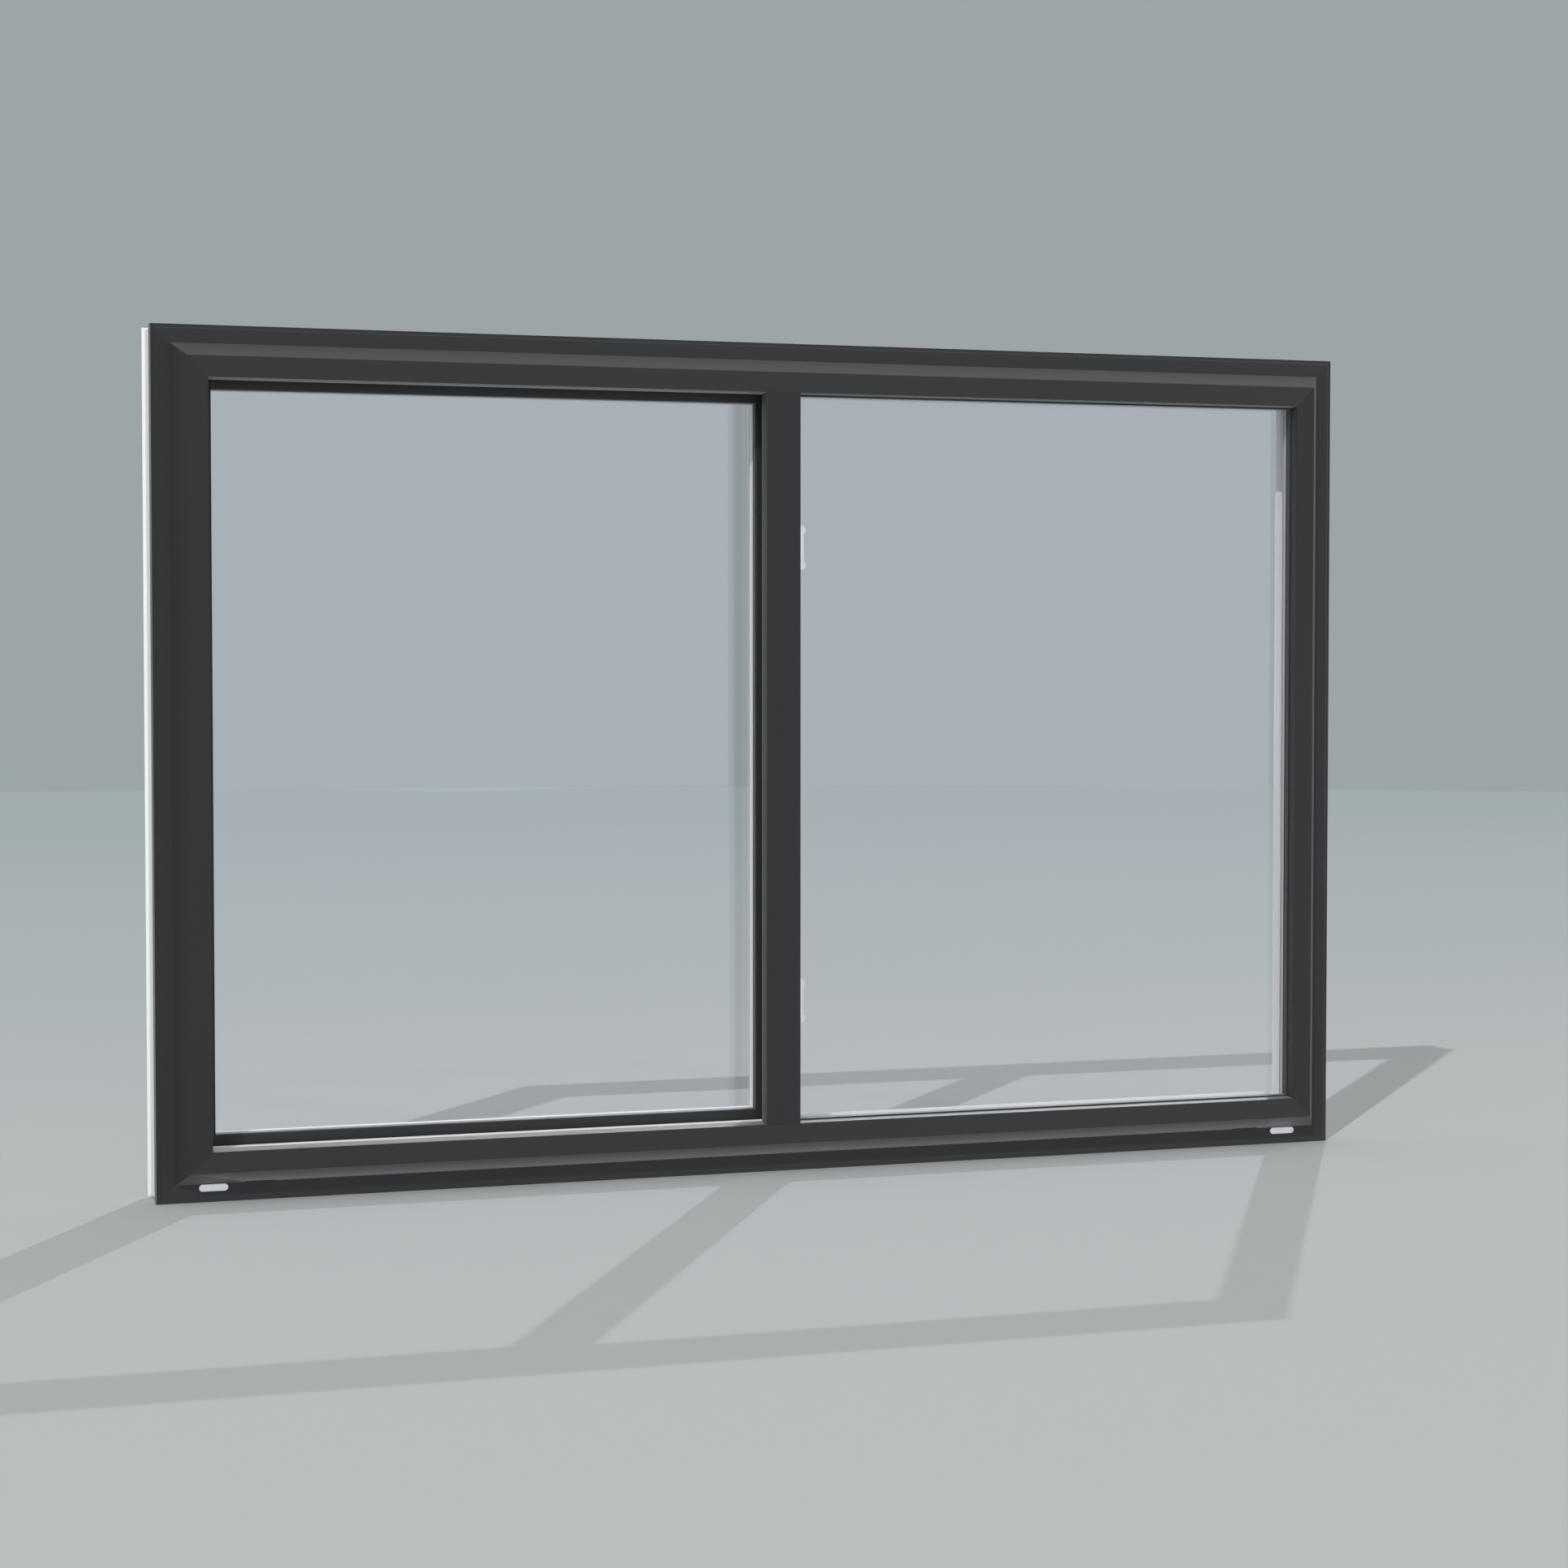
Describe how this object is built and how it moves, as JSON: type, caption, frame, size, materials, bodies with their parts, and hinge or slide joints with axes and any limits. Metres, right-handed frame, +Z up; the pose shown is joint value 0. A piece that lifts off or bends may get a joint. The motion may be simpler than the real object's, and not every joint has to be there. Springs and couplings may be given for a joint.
{
  "type": "horizontal sliding window",
  "caption": "Double-glazed sliding window: a fixed light and a sash on rollers that slides behind it, white inside, with a dark stepped moulding outside.",
  "frame": {"origin": "on the flat underside of the white sill, at mid-width and at the middle of that face's depth", "axes": "+X to the right seen from outside, +Y into the house, +Z up"},
  "size_m": [1.8288, 0.1165, 1.2192],
  "materials": {
    "charcoal_vinyl": "satin",
    "white_vinyl": "satin",
    "white_hardware": "gloss",
    "spacer_foam": "matt",
    "track_aluminium": "mill",
    "roller_nylon": "matt",
    "clear_glass": "clear",
    "seal_rubber": "matt",
    "pale_seal": "matt",
    "brush_pile": "pile",
    "screw_steel": "plated"
  },
  "bodies": {
    "frame": {"fixed_head_bead": "white_vinyl", "fixed_head_stop": "charcoal_vinyl", "fixed_inner_pane": "clear_glass", "fixed_jamb_bead": "white_vinyl", "fixed_jamb_stop": "charcoal_vinyl", "fixed_outer_pane": "clear_glass", "fixed_sill_bead": "white_vinyl", "fixed_sill_stop": "charcoal_vinyl", "fixed_spacer": "spacer_foam", "fixed_stile": "charcoal_vinyl", "fixed_stile_back": "white_vinyl", "fixed_stile_bead": "white_vinyl", "fixed_stile_stop": "charcoal_vinyl", "frame_head": "white_vinyl", "frame_sill": "white_vinyl", "head_cover": "white_vinyl", "head_moulding": "charcoal_vinyl", "jamb_cover": "white_vinyl", "left_jamb": "white_vinyl", "left_moulding": "charcoal_vinyl", "left_weep_cover": "white_hardware", "right_jamb": "white_vinyl", "right_moulding": "charcoal_vinyl", "right_weep_cover": "white_hardware", "roller_track": "track_aluminium", "sill_cover": "white_vinyl", "sill_moulding": "charcoal_vinyl"},
    "sash": {"left_roller_housing": "roller_nylon", "left_roller_wheel": "roller_nylon", "lower_lock_case": "white_hardware", "lower_lock_lever": "white_hardware", "pull_rail": "white_vinyl", "right_roller_housing": "roller_nylon", "right_roller_wheel": "roller_nylon", "sash_bottom_bead": "white_vinyl", "sash_bottom_rail": "white_vinyl", "sash_bottom_rail_cap": "charcoal_vinyl", "sash_inner_pane": "clear_glass", "sash_left_bead": "white_vinyl", "sash_left_stile": "white_vinyl", "sash_left_stile_cap": "charcoal_vinyl", "sash_meeting_bead": "white_vinyl", "sash_meeting_stile": "white_vinyl", "sash_meeting_stile_cap": "charcoal_vinyl", "sash_outer_pane": "clear_glass", "sash_spacer": "spacer_foam", "sash_top_bead": "white_vinyl", "sash_top_rail": "white_vinyl", "sash_top_rail_cap": "charcoal_vinyl", "upper_lock_case": "white_hardware", "upper_lock_lever": "white_hardware"}
  },
  "joints": [
    {"name": "sash_slide", "type": "slide", "parent": "frame", "child": "sash", "axis": [1, 0, 0], "range_m": [0, 0.77]}
  ]
}
